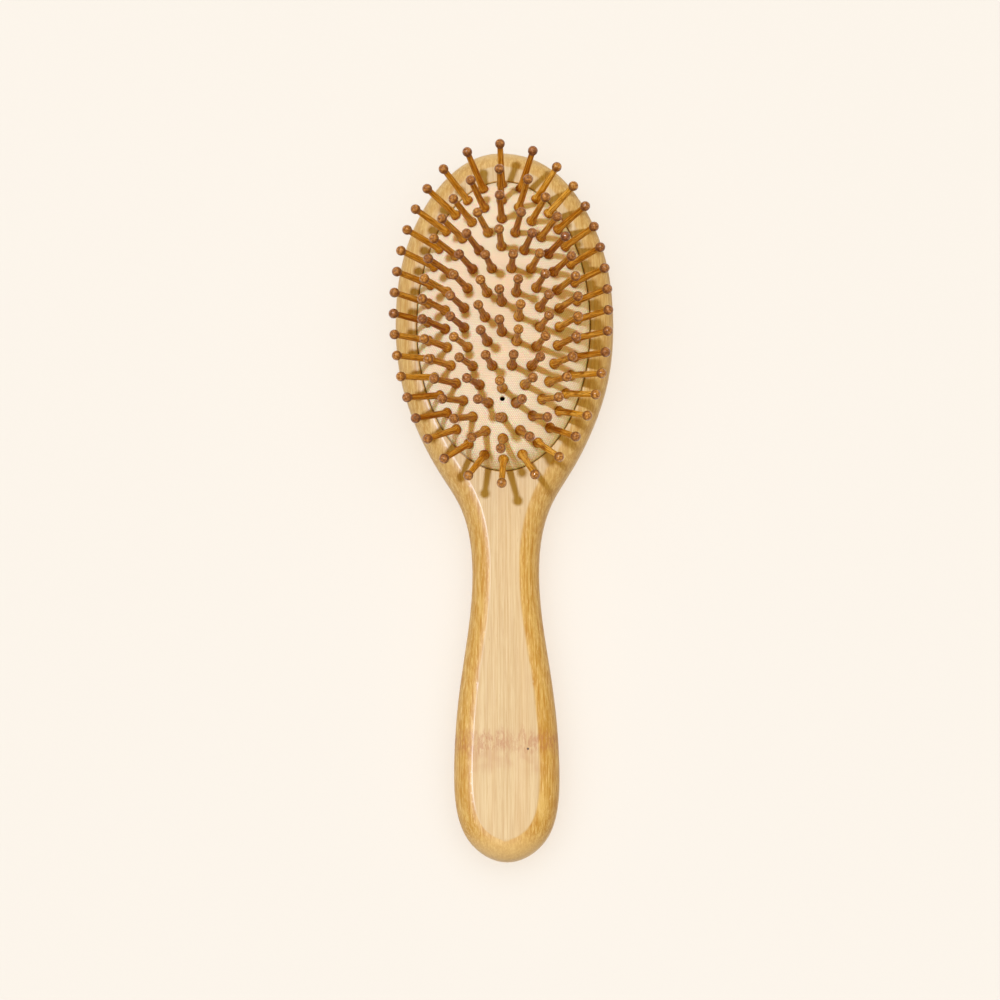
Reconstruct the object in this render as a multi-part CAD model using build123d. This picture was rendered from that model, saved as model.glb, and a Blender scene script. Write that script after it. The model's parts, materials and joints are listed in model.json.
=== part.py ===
from build123d import *
import math
import os

# Wooden-pin hair brush, millimetres, lying on its back with the pins up.
# Origin: on the flat back, under the middle of the oval head.
# +Y runs to the tip of the head, +Z up through the cushion.

# Board: three bamboo plies glued face to face
PLY_THICKNESS = 5.0
BOARD_THICKNESS = 3 * PLY_THICKNESS
EDGE_ROUND = 6.0
HEAD_TIP_Y = 57.0
HANDLE_END_Y = -166.3

# Half widths of the board (half width, y), from the head to the end of the handle
HEAD_SIDE = ((18.0, 49.0), (26.0, 37.8), (32.0, 21.6), (34.0, 1.5), (32.2, -16.4), (27.3, -31.5))
NECK_SIDE = ((20.4, -45.0), (14.5, -54.9), (11.3, -65.0), (10.25, -79.4), (11.3, -93.0))
HANDLE_SIDE = ((13.5, -108.0), (15.3, -123.0), (16.05, -138.0), (15.2, -151.0), (11.7, -159.8))
OUTLINE_SPANS = 8

# Oval recess for the cushion
MOUTH_X = 27.1
MOUTH_Y = 46.4
MOUTH_EDGE_ROUND = 0.4
GROOVE_X = 29.0
GROOVE_Y = 48.3
GROOVE_TOP_Z = 12.5
CHAMBER_X = 25.0
CHAMBER_Y = 44.3
CHAMBER_FLOOR_Z = 6.5

# Rubber cushion
CUSHION_X = 26.8
CUSHION_Y = 46.1
RUBBER = 2.0
LIP_OUT = 2.0
LIP_TOP_Z = 12.2
VENT_Y = -25.7
VENT_DIAMETER = 1.6

# Height lines of the dome (semi axis x, semi axis y, height above the board)
DOME = (
    (26.8, 46.1, 0.0),
    (25.5, 45.2, 2.4),
    (22.85, 43.4, 4.8),
    (17.6, 37.8, 7.5),
    (11.9, 31.3, 9.1),
    (5.6, 23.0, 9.9),
    (2.0, 15.0, 10.2),
)
DOME_SECTIONS = 12

# Rings of pins: (letter, semi axis x, semi axis y, oval exponent, count, lean in degrees)
RINGS = (
    ("a", 22.85, 43.5, 1.98, 36, 40.8),
    ("b", 17.6, 37.7, 1.81, 30, 24.0),
    ("c", 11.87, 31.55, 1.50, 22, 12.8),
    ("d", 5.17, 22.5, 1.52, 12, 4.8),
)
CENTRE_PIN_Y = 4.75
PINS_PER_NODE = 6

# One turned bamboo pin, measured along its own axis from the face of the rubber
BALL_DIAMETER = 3.1
BALL_HEIGHT = 15.5
SHAFT_FOOT_DIAMETER = 2.2
SHAFT_TIP_DIAMETER = 1.8
COLLAR_DIAMETER = 3.3
COLLAR_HEIGHT = 1.0
COLLAR_SHOULDER = 1.7
COLLAR_GAP = 0.15
NECK_DIAMETER = 2.0
PIN_HOLE_DIAMETER = 2.3
BUTTON_DIAMETER = 3.2
BUTTON_THICKNESS = 1.2
BUTTON_GAP = 0.4


def oval(semi_x, semi_y, z):
    return Pos(0, 0, z) * Ellipse(semi_x, semi_y)


def oval_block(semi_x, semi_y, low, high):
    return extrude(oval(semi_x, semi_y, low), high - low)


def outline():
    side = HEAD_SIDE + NECK_SIDE + HANDLE_SIDE
    other_side = [(-x, y) for x, y in reversed(side)]
    loop = [(0, HEAD_TIP_Y), *side, (0, HANDLE_END_Y), *other_side]
    edge = Edge.make_spline([Vector(*point) for point in loop], periodic=True)
    spans = [edge.trim(i / OUTLINE_SPANS, (i + 1) / OUTLINE_SPANS) for i in range(OUTLINE_SPANS)]
    return make_face(spans)


def board():
    blank = extrude(outline(), BOARD_THICKNESS)
    rims = blank.faces().sort_by(Axis.Z)
    blank = fillet([*rims[0].edges(), *rims[-1].edges()], EDGE_ROUND)
    blank -= oval_block(MOUTH_X, MOUTH_Y, GROOVE_TOP_Z, BOARD_THICKNESS + 1)
    mouth = blank.faces().sort_by(Axis.Z)[-1].inner_wires()[0]
    blank = fillet(mouth.edges(), MOUTH_EDGE_ROUND)
    blank -= oval_block(GROOVE_X, GROOVE_Y, 2 * PLY_THICKNESS, GROOVE_TOP_Z)
    return blank - oval_block(CHAMBER_X, CHAMBER_Y, CHAMBER_FLOOR_Z, 2 * PLY_THICKNESS)


def ply(blank, index):
    slab = Box(200, 400, PLY_THICKNESS, align=(Align.CENTER, Align.CENTER, Align.MIN))
    return blank & Pos(0, -50, index * PLY_THICKNESS) * slab


def dome(depth):
    """Solid under the dome's face, taken in by depth square to that face."""
    line = Spline(*DOME)
    sections = []
    for index in range(DOME_SECTIONS + 1):
        level = line @ (index / DOME_SECTIONS)
        climb = line % (index / DOME_SECTIONS)
        slope = math.atan2(climb.Z, -(climb.X + climb.Y) / 2)
        inset = depth * math.sin(slope)
        z = BOARD_THICKNESS + level.Z - depth * math.cos(slope)
        sections.append(oval(level.X - inset, level.Y - inset, z))
    return loft(sections)


def ring_places(semi_x, semi_y, exponent, count):
    """Evenly spaced points around an oval ring, from the head tip, and the outward directions there."""
    points = []
    for step in range(240):
        angle = math.tau * step / 240
        across = -math.copysign(abs(math.sin(angle)) ** (2 / exponent), math.sin(angle))
        along = math.copysign(abs(math.cos(angle)) ** (2 / exponent), math.cos(angle))
        points.append(Vector(semi_x * across, semi_y * along))
    path = Polyline(*points, close=True)
    places = [path @ (index / count) for index in range(count)]
    return [(place, Vector(place.X / semi_x**2, place.Y / semi_y**2).normalized()) for place in places]


def pin_planes(face):
    """Ring letter -> one plane per pin: on the face of the rubber, Z along the pin."""
    planes = {}
    for letter, semi_x, semi_y, exponent, count, lean in RINGS:
        tilt = math.radians(lean)
        planes[letter] = []
        for place, outward in ring_places(semi_x, semi_y, exponent, count):
            foot = surface_point(face, place)
            direction = outward * math.sin(tilt) + Vector(0, 0, math.cos(tilt))
            planes[letter].append(Plane(foot, z_dir=direction))
    centres = [surface_point(face, Vector(0, y, 0)) for y in (CENTRE_PIN_Y, -CENTRE_PIN_Y)]
    planes["e"] = [Plane(foot) for foot in centres]
    return planes


def surface_point(solid, place):
    ray = Axis((place.X, place.Y, 100), (0, 0, -1))
    hits = solid.find_intersection_points(ray)
    return max((point for point, normal in hits), key=lambda point: point.Z)


def cushion(planes):
    foot = 2 * PLY_THICKNESS
    lip = oval_block(CUSHION_X + LIP_OUT, CUSHION_Y + LIP_OUT, foot, LIP_TOP_Z)
    skirt = oval_block(CUSHION_X, CUSHION_Y, foot, BOARD_THICKNESS)
    air = oval_block(CUSHION_X - RUBBER, CUSHION_Y - RUBBER, foot, BOARD_THICKNESS)
    sheet = lip + skirt + dome(0) - air - dome(RUBBER)
    holes = [Pos(0, VENT_Y, 25) * Cylinder(VENT_DIAMETER / 2, 20)]
    for ring in planes.values():
        holes += [plane * Cylinder(PIN_HOLE_DIAMETER / 2, 4 * RUBBER) for plane in ring]
    return sheet - holes


def pin():
    button_top = -RUBBER - BUTTON_GAP
    button_low = button_top - BUTTON_THICKNESS
    profile = Polyline(
        (0, button_low),
        (BUTTON_DIAMETER / 2, button_low),
        (BUTTON_DIAMETER / 2, button_top),
        (NECK_DIAMETER / 2, button_top),
        (NECK_DIAMETER / 2, COLLAR_GAP),
        (COLLAR_DIAMETER / 2, COLLAR_GAP),
        (COLLAR_DIAMETER / 2, COLLAR_HEIGHT),
        (SHAFT_FOOT_DIAMETER / 2, COLLAR_SHOULDER),
        (SHAFT_TIP_DIAMETER / 2, BALL_HEIGHT),
        (0, BALL_HEIGHT),
        close=True,
    )
    turned = revolve(Plane.XZ * make_face(profile), Axis.Z)
    return turned + Pos(0, 0, BALL_HEIGHT) * Sphere(BALL_DIAMETER / 2)


os.makedirs("parts", exist_ok=True)

wood = board()
for index, name in enumerate(("back_ply", "core_ply", "front_ply")):
    export_step(ply(wood, index), f"parts/{name}.step")

all_planes = pin_planes(dome(0))
export_step(cushion(all_planes), "parts/rubber_cushion.step")

one_pin = pin()
for ring_name, ring_planes in all_planes.items():
    for start in range(0, len(ring_planes), PINS_PER_NODE):
        arc = ring_planes[start : start + PINS_PER_NODE]
        node = f"pins_{ring_name}{start // PINS_PER_NODE + 1}"
        export_step(Compound([plane * one_pin for plane in arc]), f"parts/{node}.step")
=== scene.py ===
import json
import math
import random

import bmesh
import bpy
from mathutils import Euler, Matrix, Vector


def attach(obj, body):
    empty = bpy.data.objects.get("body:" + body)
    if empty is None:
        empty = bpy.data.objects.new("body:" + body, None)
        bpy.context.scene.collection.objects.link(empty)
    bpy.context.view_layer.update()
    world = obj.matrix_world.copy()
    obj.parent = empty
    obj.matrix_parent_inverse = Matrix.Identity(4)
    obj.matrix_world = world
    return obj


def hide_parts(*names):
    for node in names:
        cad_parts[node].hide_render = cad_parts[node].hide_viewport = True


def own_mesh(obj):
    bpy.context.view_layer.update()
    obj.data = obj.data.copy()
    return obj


# Oval cushion hair brush, lying on its flat back. +Y runs to the tip of the head, the handle runs to -Y
# and +Z points out of the cushion. Lengths are in millimetres, and MM turns them into metres.
MM = 0.001

# Board: its front face, its middle plane, and how far each glue line is from that plane
BOARD_FACE_Z = 15.0
BOARD_MIDDLE_Z = 7.5
PLY_SEAM_Z = 2.5

# Where each look of the board begins and where it is full. ROUNDED is a distance from the middle plane,
# SEAM and SPECK are distances from a seam and from a speck, and the others are places along Y.
ROUNDED_FADE = (7.499, 7.44)
NECK_FADE = (-40.0, -80.0)
HANDLE_END_FADE = (-156.0, -164.0)
HEAD_TIP_FADE = (50.0, 57.0)
SEAM_FADE = (0.14, 0.05)
SPECK_FADE = (0.48, 0.20)
KNUCKLE_LOWER_FADE = (-135.6, -132.2)
KNUCKLE_UPPER_FADE = (-125.8, -129.0)
SMEAR_LOWER_FADE = (-143.0, -137.0)
SMEAR_UPPER_FADE = (-131.0, -134.5)

# How far the knuckle's edges wander, and the places of its two specks
KNUCKLE_WANDER = 8.0
SPECKS = ((6.8, -132.8, 15.0), (13.6, -133.4, 13.2))

# Bamboo's textures: cells per metre across the grain, along it and through the board
BROAD_CELLS = (160, 5, 160)
LINE_CELLS = (2300, 42, 300)
THIN_CELLS = (5200, 120, 600)
PORE_CELLS = (2600, 260, 2600)
STREAK_CELLS = (1300, 50, 1300)
DASH_CELLS = (2600, 210, 2600)
FIBRE_CELLS = (3000, 40, 3000)
RAGGED_CELLS = (900, 60, 900)
FLECK_CELLS = (1700, 480, 1700)
PATCH_CELLS = (130, 130, 130)

# Each ply has its own part of the grain
GRAIN_SHIFT = {"front_ply": 0.0, "core_ply": 3.7, "back_ply": 8.3}

# The cushion's lines from skirt to crown: semi axis x, semi axis y, height above the board
SKIRT = ((28.6, 47.9, -4.7), (28.6, 47.9, -3.0), (26.9, 46.2, -2.4), (26.75, 46.05, -0.9))
DOME = (
    (26.8, 46.1, 0.0),
    (25.5, 45.2, 2.4),
    (22.85, 43.4, 4.8),
    (17.6, 37.8, 7.5),
    (11.9, 31.3, 9.1),
    (5.6, 23.0, 9.9),
    (2.0, 15.0, 10.2),
)
RUBBER_THICKNESS = 2.0

# How finely the cushion's mesh follows them: rings for each line of the dome, points round a ring
STEPS_PER_LINE = 5
ROUND_STEPS = 144

# The air vent near the handle, and the cylinder that cuts it
VENT_Y = -25.7
VENT_RADIUS = 0.8
VENT_CUT_Z = BOARD_FACE_Z + 10.0
VENT_CUT_DEPTH = 8.0
VENT_SIDES = 24

# The rubber's moulded mesh, and how far red, green and blue light spread in it
MESH_WIDTH = 0.62
MESH_HEIGHT = 0.54
MESH_GROOVE = 0.17
RUBBER_SPREAD = (3.4, 1.3, 2.2)

# A pin's outline: distance along the pin from the rubber's face, radius
PIN_FOOT = ((-3.6, 1.5), (-3.5, 1.6), (-2.5, 1.6), (-2.4, 1.0), (0.0, 1.0), (0.02, 1.35), (0.15, 1.6))
PIN_WAIST = ((0.45, 1.68), (0.85, 1.62), (1.2, 1.42), (1.7, 1.17), (2.6, 1.08), (7.0, 1.0), (13.6, 0.92))
PIN_LENGTH_BELOW = -PIN_FOOT[0][0]
BALL_CENTRE = 15.5
BALL_RADIUS = 1.55
BALL_STEPS = 9
PIN_SIDES = 20

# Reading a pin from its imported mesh: points this close are one, the button's rim is this thick, and the
# axis is rounded to this many digits
JOIN_GAP = 0.001
RIM_SLICE = 0.2
AXIS_DIGITS = 6

# Looks along a pin, as distances from the rubber's face: where each begins and where it is full
BASE_SHADE_FADE = (2.0, 0.2)
BALL_FADE = (13.9, 14.5)
BALL_SIDE_SHADE_FADE = (16.7, 15.6)
BALL_RING_RADIUS = 0.62
BALL_RING_FADE = (0.26, 0.06)

# A pin's textures: cells per millimetre across it and along it, and each tone's own part of them
PIN_GRAIN_CELLS = (2.4, 2.4, 0.09)
PIN_FINE_CELLS = (6.0, 6.0, 0.35)
BALL_CELLS = (1.5, 1.5, 1.5)
TONE_SHIFT_X = 37.0
TONE_SHIFT_Y = 61.0

# Each pin's tone, from 0 for light to 1 for dark
SEED = 7
TONE_MEAN = 0.42
TONE_DEVIATION = 0.28

# Colours, as 8-bit display values. A pair is for the palest pin and for the darkest one.
FIBRE_TAN = (192, 165, 116)
FIBRE_PALE = (212, 193, 151)
HONEY = (207, 174, 122)
THIN_BROWN = (181, 140, 88)
PORE_BROWN = (155, 108, 58)
EDGE_AMBER = (185, 140, 60)
EDGE_STRAW = (211, 179, 108)
DASH_BROWN = (176, 120, 40)
DASH_PALE = (232, 204, 148)
END_PALE = (222, 195, 143)
GLUE_BROWN = (150, 102, 48)
KNUCKLE_BROWN = (172, 116, 72)
SPECK_BROWN = (64, 39, 18)
RUBBER_CREAM = (255, 232, 200)
RUBBER_WHITE = (255, 242, 219)
RUBBER_GROOVE_SHADE = (222, 160, 108)
PIN_FIBRE_DARK = ((198, 134, 12), (150, 80, 4))
PIN_FIBRE_LIGHT = ((230, 180, 78), (192, 130, 30))
PIN_STREAK = (108, 56, 2)
PIN_BASE_SHADE = (112, 52, 8)
BALL_FIBRE_DARK = ((146, 92, 34), (108, 62, 42))
BALL_FIBRE_LIGHT = ((214, 156, 80), (170, 112, 74))
BALL_RING = (104, 56, 18)
BALL_RIM_SHADE = (88, 42, 10)
FLOOR_PALE = (186, 180, 171)
FLOOR_PALER = (187, 181, 173)

# Camera: its place in metres, its turn in degrees about X, Y and Z, and its lens
CAMERA_PLACE = (0.0535, -0.2958, 1.1780)
CAMERA_TURN = (11.6471, 2.7576, -0.2839)
LENS_MM = 139.0
SENSOR_MM = 36.0

# The floor reaches this many metres each way, a hair under the flat back so that the faces never meet
FLOOR_REACH = 4.0
FLOOR_GAP = 0.2

# Lamps: name, direction of travel, strength in W/m2, spread in degrees, colour
STRAIGHT_DOWN = (0, 0, -1)
BRUSH_LAMPS = (
    ("key", (0.243, -0.13, -0.96), 2.75, 4, (0.73, 0.81, 1.0)),
    ("warm_fill", STRAIGHT_DOWN, 1.70, 140, (1.0, 0.63, 0.06)),
    ("side_fill", (-0.8, 0, -0.6), 0.35, 60, (1.0, 0.92, 0.5)),
)
FLOOR_SOFT_LAMP = ("floor_soft", STRAIGHT_DOWN, 1.00, 120, (0.985, 0.99, 1.0))
FLOOR_FILL_LAMP = ("floor_fill", STRAIGHT_DOWN, 4.97, 90, (0.985, 0.99, 1.0))
SKY_COLOUR = (255, 248, 236)
SKY_STRENGTH = 0.08


def linear(colour):
    """An 8-bit display colour as a linear RGBA."""
    parts = []
    for value in colour:
        share = value / 255
        parts.append(share / 12.92 if share <= 0.04045 else ((share + 0.055) / 1.055) ** 2.4)
    return (*parts, 1.0)


def is_socket(value):
    return isinstance(value, bpy.types.NodeSocket)


class Shader:
    """A node material with a few shortcuts for wiring it."""

    def __init__(self, name):
        self.material = bpy.data.materials.new(name)
        self.material.use_nodes = True
        self.tree = self.material.node_tree
        self.surface = self.tree.nodes["Principled BSDF"]

    def node(self, kind, settings=None, **inputs):
        """A new node. An input's name has _ where its socket's name has a space."""
        made = self.tree.nodes.new(kind)
        for key, value in (settings or {}).items():
            setattr(made, key, value)
        for key, value in inputs.items():
            self.feed(made.inputs[key.replace("_", " ")], value)
        return made

    def feed(self, socket, value):
        """Link a socket to another, or set it to a plain value."""
        if is_socket(value):
            self.tree.links.new(value, socket)
        else:
            socket.default_value = value

    def math(self, operation, first, second=0.0):
        made = self.node("ShaderNodeMath", {"operation": operation})
        self.feed(made.inputs[0], first)
        self.feed(made.inputs[1], second)
        return made.outputs[0]

    def span(self, value, low, high, out_low=0.0, out_high=1.0):
        """Smoothly turn low to high into out_low to out_high."""
        made = self.node("ShaderNodeMapRange", {"interpolation_type": "SMOOTHSTEP"}, Value=value)
        made.inputs["From Min"].default_value = low
        made.inputs["From Max"].default_value = high
        made.inputs["To Min"].default_value = out_low
        made.inputs["To Max"].default_value = out_high
        return made.outputs[0]

    def fade(self, length, limits, out_low=0.0, out_high=1.0):
        """Do the same for a length in metres, with limits in millimetres."""
        return self.span(length, limits[0] * MM, limits[1] * MM, out_low, out_high)

    def mix(self, factor, first, second):
        """Blend two colours, each a socket or 8-bit display values."""
        made = self.node("ShaderNodeMix", {"data_type": "RGBA"})
        self.feed(made.inputs[0], factor)
        self.feed(made.inputs[6], first if is_socket(first) else linear(first))
        self.feed(made.inputs[7], second if is_socket(second) else linear(second))
        return made.outputs[2]

    def vector_math(self, operation, first, second=(0, 0, 0)):
        made = self.node("ShaderNodeVectorMath", {"operation": operation})
        self.feed(made.inputs[0], first)
        self.feed(made.inputs[1], second)
        return made.outputs

    def scaled(self, vector, scale, offset=(0, 0, 0)):
        return self.node("ShaderNodeMapping", Vector=vector, Scale=scale, Location=offset).outputs[0]

    def noise(self, vector, scale=1.0, detail=3.0, roughness=0.55):
        inputs = {"Scale": scale, "Detail": detail, "Roughness": roughness}
        return self.node("ShaderNodeTexNoise", Vector=vector, **inputs).outputs["Fac"]

    def bump(self, height, strength, distance):
        """Relief from a height of 0 to 1, with its distance in millimetres."""
        inputs = {"Strength": strength, "Distance": distance * MM, "Height": height}
        self.feed(self.surface.inputs["Normal"], self.node("ShaderNodeBump", **inputs).outputs[0])

    def finish(self, colour, roughness, specular=0.5, coat=0.0, coat_roughness=0.2):
        self.feed(self.surface.inputs["Base Color"], colour)
        self.feed(self.surface.inputs["Roughness"], roughness)
        self.feed(self.surface.inputs["Coat Weight"], coat)
        self.surface.inputs["Specular IOR Level"].default_value = specular
        self.surface.inputs["Coat Roughness"].default_value = coat_roughness
        return self.material


def bamboo_board(name, shift):
    """Lacquered laminated bamboo: straight grain along Y, a knuckle across the handle."""
    s = Shader(name)
    place = s.node("ShaderNodeTexCoord").outputs["Object"]
    axes = s.node("ShaderNodeSeparateXYZ", Vector=place).outputs
    y = axes["Y"]
    level = s.math("ABSOLUTE", s.math("SUBTRACT", axes["Z"], BOARD_MIDDLE_Z * MM))
    # Darker rounded edges: cut fibres, plus painted shade where they turn from the light and painted
    # sheen on the flat faces
    side = s.math("MULTIPLY", s.fade(level, ROUNDED_FADE), s.fade(y, NECK_FADE, 0.75, 1.0))
    ends = s.math("MAXIMUM", s.fade(y, HANDLE_END_FADE), s.fade(y, HEAD_TIP_FADE))
    rounded = s.mix(s.math("MULTIPLY", ends, 0.60), rounded_grain_and_shade(s, place, shift), END_PALE)
    colour = s.mix(side, flat_grain(s, place, shift), rounded)
    seam = s.math("ABSOLUTE", s.math("SUBTRACT", level, PLY_SEAM_Z * MM))
    colour = s.mix(s.fade(seam, SEAM_FADE, 0.0, 0.45), colour, GLUE_BROWN)
    colour = s.mix(knuckle(s, place, y), colour, KNUCKLE_BROWN)
    colour = s.mix(specks(s, place), colour, SPECK_BROWN)
    fibre = s.noise(s.scaled(place, FIBRE_CELLS, (0, shift, 0)), detail=2.0)
    s.bump(fibre, strength=0.10, distance=0.1)
    rough = s.span(fibre, 0.2, 0.8, 0.40, 0.50)
    return s.finish(colour, rough, specular=0.35, coat=0.025, coat_roughness=0.13)


def flat_grain(s, place, shift):
    """Thin light and dark lines along the flat faces."""
    broad = s.noise(s.scaled(place, BROAD_CELLS, (shift, 0, shift)), detail=2.0)
    lines = s.noise(s.scaled(place, LINE_CELLS, (shift, shift, 0)), roughness=0.7)
    thin = s.noise(s.scaled(place, THIN_CELLS, (4, shift, 0)), detail=2.0)
    pores = s.noise(s.scaled(place, PORE_CELLS, (9, shift, 2)), detail=1.0)
    colour = s.mix(s.span(lines, 0.34, 0.68), FIBRE_TAN, FIBRE_PALE)
    colour = s.mix(s.span(broad, 0.35, 0.75, 0.0, 0.35), colour, HONEY)
    colour = s.mix(s.span(thin, 0.54, 0.74, 0.0, 0.38), colour, THIN_BROWN)
    return s.mix(s.span(pores, 0.68, 0.80, 0.0, 0.35), colour, PORE_BROWN)


def rounded_grain_and_shade(s, place, shift):
    """Warmer, darker rounded edges: partly the fibres that the tool cuts short, partly painted shade
    where they turn away from the light.
    """
    streak = s.noise(s.scaled(place, STREAK_CELLS, (shift, shift, 1)), roughness=0.65)
    dash = s.noise(s.scaled(place, DASH_CELLS, (3, shift, 5)), roughness=0.75)
    colour = s.mix(s.span(streak, 0.36, 0.66), EDGE_AMBER, EDGE_STRAW)
    colour = s.mix(s.span(dash, 0.51, 0.64, 0.0, 0.60), colour, DASH_BROWN)
    return s.mix(s.span(dash, 0.47, 0.34, 0.0, 0.60), colour, DASH_PALE)


def knuckle(s, place, y):
    """How strongly the knuckle's ragged brown band, and the smear below it, show at a point."""
    ragged = s.noise(s.scaled(place, RAGGED_CELLS))
    wander = s.math("MULTIPLY", s.math("SUBTRACT", ragged, 0.5), KNUCKLE_WANDER * MM)
    line = s.math("ADD", y, wander)
    band = s.math("MULTIPLY", s.fade(line, KNUCKLE_LOWER_FADE), s.fade(line, KNUCKLE_UPPER_FADE))
    flecks = s.noise(s.scaled(place, FLECK_CELLS), roughness=0.7)
    patch = s.noise(s.scaled(place, PATCH_CELLS, (2, 0, 0)), detail=2.0)
    fleck_share = s.span(flecks, 0.40, 0.62, 0.08, 0.72)
    strength = s.math("MULTIPLY", fleck_share, s.span(patch, 0.3, 0.6, 0.45, 1.0))
    below = s.math("MULTIPLY", s.fade(line, SMEAR_LOWER_FADE), s.fade(line, SMEAR_UPPER_FADE))
    smear = s.math("MULTIPLY", below, s.span(patch, 0.42, 0.65, 0.0, 0.34))
    return s.math("MAXIMUM", s.math("MULTIPLY", band, strength), smear)


def specks(s, place):
    """Two tiny dark specks in the knuckle."""
    found = 0.0
    for spot in SPECKS:
        gap = s.vector_math("DISTANCE", place, Vector(spot) * MM)["Value"]
        found = s.math("MAXIMUM", found, s.fade(gap, SPECK_FADE))
    return found


def natural_rubber():
    """Cream natural rubber, moulded with a fine cloth-like mesh."""
    s = Shader("natural_rubber")
    place = s.node("ShaderNodeTexCoord").outputs["Object"]
    mesh = {"Brick_Width": MESH_WIDTH, "Row_Height": MESH_HEIGHT, "Mortar_Size": MESH_GROOVE}
    rows = s.node("ShaderNodeTexBrick", Vector=place, Scale=1 / MM, Mortar_Smooth=1.0, **mesh)
    groove = rows.outputs["Fac"]
    cloud = s.noise(place, scale=60.0)
    colour = s.mix(s.span(cloud, 0.3, 0.7), RUBBER_CREAM, RUBBER_WHITE)
    # Painted shade: the moulded mesh's grooves are painted darker, as if shade lay in them
    colour = s.mix(s.math("MULTIPLY", groove, 0.44), colour, RUBBER_GROOVE_SHADE)
    s.bump(s.math("SUBTRACT", 1.0, groove), strength=0.5, distance=0.2)
    s.surface.inputs["Subsurface Weight"].default_value = 0.55
    s.surface.inputs["Subsurface Scale"].default_value = 1.0
    s.surface.inputs["Subsurface Radius"].default_value = Vector(RUBBER_SPREAD) * MM
    return s.finish(colour, 0.62, specular=0.3)


def pin_bamboo():
    """Heat-browned, lacquered bamboo of the turned pins. Each pin has its own tone."""
    s = Shader("bamboo_pin")
    local = s.node("ShaderNodeAttribute", {"attribute_name": "pin_place"}).outputs["Vector"]
    tone = s.node("ShaderNodeAttribute", {"attribute_name": "pin_tone"}).outputs["Fac"]
    along = s.node("ShaderNodeSeparateXYZ", Vector=local).outputs["Z"]
    shift = s.node("ShaderNodeCombineXYZ")
    s.feed(shift.inputs["X"], s.math("MULTIPLY", tone, TONE_SHIFT_X))
    s.feed(shift.inputs["Y"], s.math("MULTIPLY", tone, TONE_SHIFT_Y))
    moved = s.vector_math("ADD", local, shift.outputs[0])["Vector"]
    grain = s.noise(s.scaled(moved, PIN_GRAIN_CELLS))
    fine = s.noise(s.scaled(moved, PIN_FINE_CELLS), detail=2.0)
    dark = s.mix(tone, *PIN_FIBRE_DARK)
    light = s.mix(tone, *PIN_FIBRE_LIGHT)
    colour = s.mix(s.span(grain, 0.42, 0.58), dark, light)
    colour = s.mix(s.span(fine, 0.50, 0.64, 0.0, 0.75), colour, PIN_STREAK)
    colour = s.mix(s.span(along, *BALL_FADE), colour, ball_grain_and_shade(s, local, moved, tone, along))
    # Painted shade: the pin darkens towards its foot, where it meets the rubber
    colour = s.mix(s.math("MULTIPLY", s.span(along, *BASE_SHADE_FADE), 0.60), colour, PIN_BASE_SHADE)
    s.bump(grain, strength=0.2, distance=0.1)
    shine = s.span(along, *BALL_FADE, 0.0, 0.80)
    return s.finish(colour, 0.45, specular=0.12, coat=shine, coat_roughness=0.08)


def ball_grain_and_shade(s, local, moved, tone, along):
    """End grain of the ball with a dark ring round the top, and a darker rim that is painted shade on the
    ball's sides.
    """
    across = s.vector_math("LENGTH", s.scaled(local, (1, 1, 0)))["Value"]
    speckle = s.noise(s.scaled(moved, BALL_CELLS), roughness=0.7)
    wander = s.math("MULTIPLY", s.math("SUBTRACT", speckle, 0.5), 0.7)
    radius = s.math("ADD", across, wander)
    ring = s.span(s.math("ABSOLUTE", s.math("SUBTRACT", radius, BALL_RING_RADIUS)), *BALL_RING_FADE)
    dark = s.mix(tone, *BALL_FIBRE_DARK)
    light = s.mix(tone, *BALL_FIBRE_LIGHT)
    colour = s.mix(s.span(speckle, 0.38, 0.64), dark, light)
    colour = s.mix(s.math("MULTIPLY", ring, 0.50), colour, BALL_RING)
    # Painted shade: the ball darkens round its sides, away from its top
    return s.mix(s.math("MULTIPLY", s.span(along, *BALL_SIDE_SHADE_FADE), 0.60), colour, BALL_RIM_SHADE)


def dome_lines():
    """The lines of DOME with evenly stepped ones between them, by a Catmull-Rom curve."""
    rows = [Vector(row) for row in DOME]
    first = rows[0] * 2 - rows[1]
    last = rows[-1] * 2 - rows[-2]
    rows = [first, *rows, last]
    made = []
    for index in range(1, len(rows) - 2):
        for step in range(STEPS_PER_LINE):
            made.append(between(rows[index - 1 : index + 3], step / STEPS_PER_LINE))
    made.append(rows[-2])
    return made


def between(four, t):
    """The Catmull-Rom curve through the middle two of four points, with t from 0 to 1."""
    a, b, c, d = four
    curve = 0.5 * ((2 * b) + (c - a) * t + (2 * a - 5 * b + 4 * c - d) * t * t)
    return curve + 0.5 * (3 * b - a - 3 * c + d) * t**3


def bridge(bm, low, high):
    """A band of faces between two rings of points."""
    count = len(low)
    for index in range(count):
        after = (index + 1) % count
        bm.faces.new((low[index], low[after], high[after], high[index]))


def smooth_mesh(name, bm, material=None):
    """Turn a bmesh into a smoothly shaded object in the scene."""
    bmesh.ops.recalc_face_normals(bm, faces=bm.faces)
    mesh = bpy.data.meshes.new(name)
    bm.to_mesh(mesh)
    bm.free()
    if material:
        mesh.materials.append(material)
    mesh.shade_smooth()
    made = bpy.data.objects.new(name, mesh)
    bpy.context.scene.collection.objects.link(made)
    return made


def apply_modifiers(made):
    """Replace an object's mesh by what its modifiers make of it."""
    graph = bpy.context.evaluated_depsgraph_get()
    mesh = bpy.data.meshes.new_from_object(made.evaluated_get(graph))
    made.modifiers.clear()
    made.data = mesh


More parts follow.
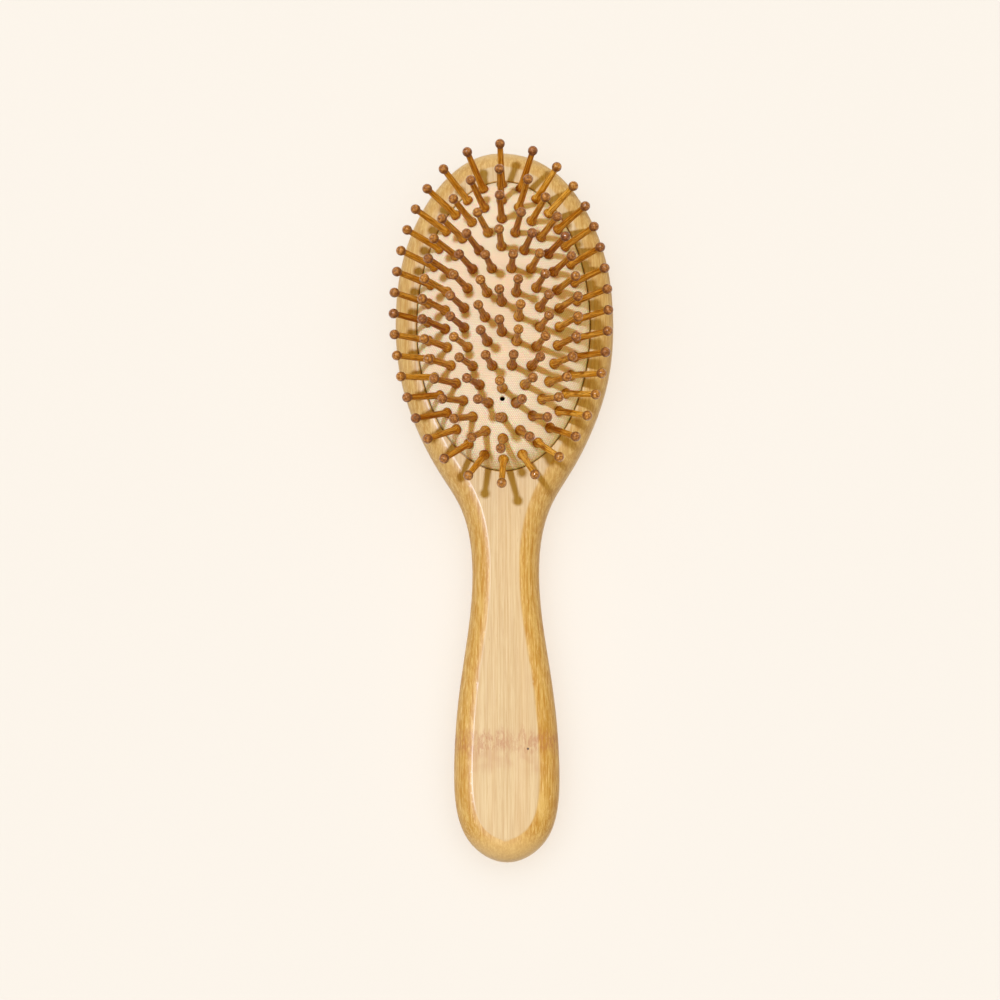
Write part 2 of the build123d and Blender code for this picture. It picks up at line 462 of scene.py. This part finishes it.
def cushion():
    """The rubber sheet: skirt and lip in the board's groove, dome above it, air vent through it."""
    made = smooth_mesh("rubber_cushion_skin", cushion_face(), natural_rubber())
    thick = made.modifiers.new("sheet", "SOLIDIFY")
    thick.thickness = RUBBER_THICKNESS * MM
    thick.offset = -1
    vent = made.modifiers.new("vent", "BOOLEAN")
    vent.object = vent_cutter()
    vent.solver = "EXACT"
    apply_modifiers(made)
    bpy.data.objects.remove(bpy.data.objects["vent_cutter"])
    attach(made, "brush_body")
    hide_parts("rubber_cushion")
    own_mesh(made)


def cushion_face():
    """The sheet's outer face, as oval rings from the skirt to the crown."""
    bm = bmesh.new()
    rings = []
    for semi_x, semi_y, height in [*SKIRT, *dome_lines()]:
        ring = []
        for step in range(ROUND_STEPS):
            angle = math.tau * step / ROUND_STEPS
            spot = Vector((semi_x * math.cos(angle), semi_y * math.sin(angle), BOARD_FACE_Z + height))
            ring.append(bm.verts.new(spot * MM))
        rings.append(ring)
    for low, high in zip(rings, rings[1:]):
        bridge(bm, low, high)
    bm.faces.new(rings[-1])
    return bm


def vent_cutter():
    """A cylinder through the cushion where its vent is."""
    bm = bmesh.new()
    spot = Matrix.Translation(Vector((0, VENT_Y, VENT_CUT_Z)) * MM)
    size = {"radius1": VENT_RADIUS * MM, "radius2": VENT_RADIUS * MM, "depth": VENT_CUT_DEPTH * MM}
    bmesh.ops.create_cone(bm, cap_ends=True, segments=VENT_SIDES, matrix=spot, **size)
    return smooth_mesh("vent_cutter", bm)


def pin_profile():
    """The pin's outline from its button up to, but not including, the top of its ball."""
    outline = [*PIN_FOOT, *PIN_WAIST]
    neck_radius = PIN_WAIST[-1][1]
    sweep = math.pi - math.asin(neck_radius / BALL_RADIUS)
    for step in range(BALL_STEPS):
        angle = sweep - sweep * step / BALL_STEPS
        outline.append((BALL_CENTRE + BALL_RADIUS * math.cos(angle), BALL_RADIUS * math.sin(angle)))
    return outline


def pin_axes(node):
    """Foot point and axis of each pin in a CAD node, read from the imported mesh."""
    bm = bmesh.new()
    bm.from_mesh(node.data)
    bmesh.ops.remove_doubles(bm, verts=bm.verts, dist=JOIN_GAP * MM)
    seen = set()
    axes = []
    for vert in bm.verts:
        if vert not in seen:
            group = island(vert)
            seen.update(group)
            axes.append(pin_axis([member.co.copy() for member in group]))
    bm.free()
    return axes


def island(start):
    """All the points that edges join to this one. The list grows while the loop reads it."""
    found = [start]
    seen = {start}
    for vert in found:
        for edge in vert.link_edges:
            other = edge.other_vert(vert)
            if other not in seen:
                seen.add(other)
                found.append(other)
    return found


def pin_axis(points):
    """The button's middle is the mean of the lowest rim; the far end of the ball gives the axis."""
    middle = sum(points, Vector()) / len(points)
    top = max(points, key=lambda point: point.z)
    axis = (top - middle).normalized()
    for _ in range(3):
        lowest = min((point - middle).dot(axis) for point in points)
        rim = [point for point in points if (point - middle).dot(axis) < lowest + RIM_SLICE * MM]
        base = sum(rim, Vector()) / len(rim)
        tip = max(points, key=lambda point: (point - base).dot(axis))
        axis = (tip - base).normalized()
    # Stray digits would decide an upright pin's twist, and adding 0.0 turns -0.0 into 0.0
    axis = Vector([round(part, AXIS_DIGITS) + 0.0 for part in axis])
    return base + axis * PIN_LENGTH_BELOW * MM, axis


def add_pin(bm, foot, axis, spin, tone):
    """One lathe-turned pin, with its local place and its tone stored on its points."""
    turn = axis.to_track_quat("Z", "Y").to_matrix() @ Matrix.Rotation(spin, 3, "Z")
    rings = []
    for along, radius in pin_profile():
        ring = []
        for step in range(PIN_SIDES):
            angle = math.tau * step / PIN_SIDES
            local = Vector((radius * math.cos(angle), radius * math.sin(angle), along))
            ring.append(pin_point(bm, foot, turn, local, tone))
        rings.append(ring)
    for low, high in zip(rings, rings[1:]):
        bridge(bm, low, high)
    bm.faces.new(rings[0])
    pole = pin_point(bm, foot, turn, Vector((0, 0, BALL_CENTRE + BALL_RADIUS)), tone)
    for index in range(PIN_SIDES):
        bm.faces.new((rings[-1][index], rings[-1][(index + 1) % PIN_SIDES], pole))


def pin_point(bm, foot, turn, local, tone):
    """One point of a pin, given in the pin's own millimetres."""
    vert = bm.verts.new(foot + turn @ local * MM)
    vert[bm.verts.layers.float_vector["pin_place"]] = local
    vert[bm.verts.layers.float["pin_tone"]] = tone
    return vert


def pins(frame):
    """One detailed piece for each CAD node of pins."""
    material = pin_bamboo()
    dice = random.Random(SEED)
    for body, nodes in frame["record"]["behaviour"]["bodies"].items():
        for node in (name for name in nodes if name.startswith("pins_")):
            bm = bmesh.new()
            bm.verts.layers.float_vector.new("pin_place")
            bm.verts.layers.float.new("pin_tone")
            for foot, axis in pin_axes(frame["nodes"][node]):
                tone = min(1.0, max(0.0, dice.gauss(TONE_MEAN, TONE_DEVIATION)))
                add_pin(bm, foot, axis, dice.uniform(0, math.tau), tone)
            made = smooth_mesh("bamboo_" + node, bm, material)
            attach(made, body)
            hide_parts(node)


def board(frame):
    """The board's plies keep their CAD meshes and get their materials."""
    for name, shift in GRAIN_SHIFT.items():
        node = frame["nodes"][name]
        node.data.materials.clear()
        node.data.materials.append(bamboo_board("bamboo_" + name.removesuffix("_ply"), shift))


def studio():
    """Lamps that light only the brush, lamps that light only the floor, and a faint pale sky."""
    brush = [thing for thing in bpy.data.objects if thing.type == "MESH"]
    floor = add_floor()
    for lamp in BRUSH_LAMPS:
        add_sun(*lamp, brush)
    add_sun(*FLOOR_SOFT_LAMP, [floor])
    fill = add_sun(*FLOOR_FILL_LAMP, [floor])
    # Only the floor itself can block this lamp, so the brush throws no shadow from it
    fill.light_linking.blocker_collection = fill.light_linking.receiver_collection
    sky = bpy.data.worlds.new("studio")
    bpy.context.scene.world = sky
    sky.use_nodes = True
    back = sky.node_tree.nodes["Background"]
    back.inputs["Color"].default_value = linear(SKY_COLOUR)
    back.inputs["Strength"].default_value = SKY_STRENGTH


def add_floor():
    """A plain pale floor."""
    mesh = bpy.data.meshes.new("floor")
    signs = ((-1, -1), (1, -1), (1, 1), (-1, 1))
    corners = [(x * FLOOR_REACH, y * FLOOR_REACH, -FLOOR_GAP * MM) for x, y in signs]
    mesh.from_pydata(corners, [], [(0, 1, 2, 3)])
    mesh.materials.append(pale_floor())
    made = bpy.data.objects.new("floor", mesh)
    bpy.context.scene.collection.objects.link(made)
    return made


def pale_floor():
    s = Shader("pale_floor")
    place = s.node("ShaderNodeTexCoord").outputs["Object"]
    return s.finish(s.mix(s.noise(place, scale=3.0), FLOOR_PALE, FLOOR_PALER), 0.9)


def add_sun(name, travel, strength, spread, colour, receivers):
    """A sun that lights only the given objects."""
    lamp = bpy.data.lights.new(name, "SUN")
    lamp.energy = strength
    lamp.angle = math.radians(spread)
    lamp.color = colour
    made = bpy.data.objects.new(name, lamp)
    made.rotation_euler = Vector(travel).to_track_quat("-Z", "Y").to_euler()
    bpy.context.scene.collection.objects.link(made)
    lit = bpy.data.collections.new(name + "_lights")
    for thing in receivers:
        lit.objects.link(thing)
    made.light_linking.receiver_collection = lit
    return made


def camera():
    """The camera, high above the brush and a little towards its handle."""
    lens = bpy.data.cameras.new("camera")
    lens.lens = LENS_MM
    lens.sensor_width = SENSOR_MM
    made = bpy.data.objects.new("camera", lens)
    turn = Euler([math.radians(angle) for angle in CAMERA_TURN])
    made.matrix_world = Matrix.LocRotScale(Vector(CAMERA_PLACE), turn, None)
    bpy.context.scene.collection.objects.link(made)
    bpy.context.scene.camera = made
    bpy.context.scene.view_settings.view_transform = "Standard"


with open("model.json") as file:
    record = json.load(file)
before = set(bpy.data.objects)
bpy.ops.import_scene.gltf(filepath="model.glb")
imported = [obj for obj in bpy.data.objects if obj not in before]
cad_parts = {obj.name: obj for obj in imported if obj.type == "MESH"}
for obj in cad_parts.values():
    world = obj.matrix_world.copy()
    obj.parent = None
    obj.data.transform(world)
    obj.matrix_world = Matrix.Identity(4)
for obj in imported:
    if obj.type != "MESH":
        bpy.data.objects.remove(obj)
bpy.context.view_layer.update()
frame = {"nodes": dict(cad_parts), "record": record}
board(frame)
cushion()
pins(frame)
studio()
camera()
